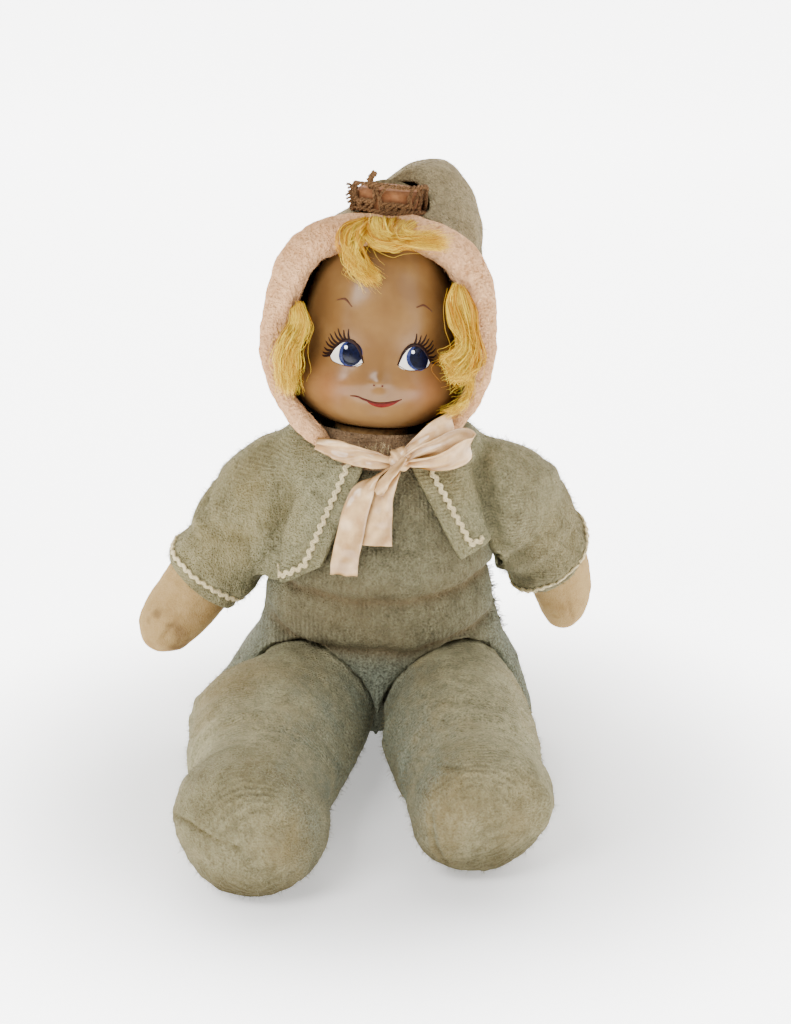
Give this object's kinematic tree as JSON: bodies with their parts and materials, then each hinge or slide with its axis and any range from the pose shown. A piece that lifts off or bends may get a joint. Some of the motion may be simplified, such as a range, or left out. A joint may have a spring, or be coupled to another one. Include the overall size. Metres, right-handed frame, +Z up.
{
  "type": "three-faced doll",
  "caption": "Seated cloth-bodied doll in a hood; a knob on top turns its moulded composition head, so that another face looks out of the fleece brim.",
  "frame": {"origin": "middle of the flat seat, on the surface that the doll sits on", "axes": "+Z up through the torso, -Y the way the doll faces, +X to the doll's own left (the right-hand side as seen from the front)"},
  "size_m": [0.2052, 0.2282, 0.257],
  "materials": {
    "flannel": "napped grey-green wool flannel, faded and foxed",
    "calico": "plain beige cotton with brown age spots",
    "fleece": "soft pale pink fleece",
    "composition": "painted satin flesh over moulded sawdust composition",
    "mohair": "golden mohair locks",
    "satin": "pale pink satin ribbon",
    "rickrack": "cream woven rickrack",
    "braid": "worn brown braid",
    "neck_cloth": "fuzzy brown knit",
    "wood": "plain turned softwood",
    "card": "rolled card",
    "steel": "dull plated steel"
  },
  "bodies": {
    "torso": {"torso": "flannel", "jacket_body": "flannel", "jacket_trim_left": "rickrack", "jacket_trim_right": "rickrack", "neck_cloth": "neck_cloth", "neck_disc": "wood", "guide_tube": "card", "hood_brim": "fleece", "hood_shell": "flannel", "hair_top": "mohair", "hair_left": "mohair", "hair_right": "mohair", "ribbon_knot": "satin", "ribbon_left_band": "satin", "ribbon_right_band": "satin", "ribbon_loop": "satin", "ribbon_long_tail": "satin", "ribbon_short_tail": "satin"},
    "head": {"head_shell": "composition", "head_base_plug": "wood", "head_top_plug": "wood", "turning_dowel": "wood", "turning_knob": "composition", "knob_braid": "braid", "dowel_washer": "steel", "cotter_pin": "steel"},
    "left_arm": {"left_arm": "calico", "left_sleeve": "flannel", "left_sleeve_trim": "rickrack"},
    "right_arm": {"right_arm": "calico", "right_sleeve": "flannel", "right_sleeve_trim": "rickrack"},
    "left_leg": {"left_leg": "flannel"},
    "right_leg": {"right_leg": "flannel"}
  },
  "joints": [
    {"name": "head_turn", "type": "hinge", "parent": "torso", "child": "head", "pos_m": [-0.0035, -0.008, 0.152], "axis": [0.0785, 0.1387, 0.9872], "continuous": true},
    {"name": "left_shoulder", "type": "hinge", "parent": "torso", "child": "left_arm", "pos_m": [-0.0492, -0.004, 0.117], "axis": [-1, 0, 0], "range_deg": [-25, 100]},
    {"name": "right_shoulder", "type": "hinge", "parent": "torso", "child": "right_arm", "pos_m": [0.0547, -0.004, 0.117], "axis": [-1, 0, 0], "range_deg": [-25, 100]},
    {"name": "left_hip", "type": "hinge", "parent": "torso", "child": "left_leg", "pos_m": [-0.032, -0.036, 0.0302], "axis": [0.9863, -0.165, 0], "range_deg": [0, 80]},
    {"name": "right_hip", "type": "hinge", "parent": "torso", "child": "right_leg", "pos_m": [0.032, -0.036, 0.0302], "axis": [0.9962, 0.0872, 0], "range_deg": [0, 80]}
  ]
}
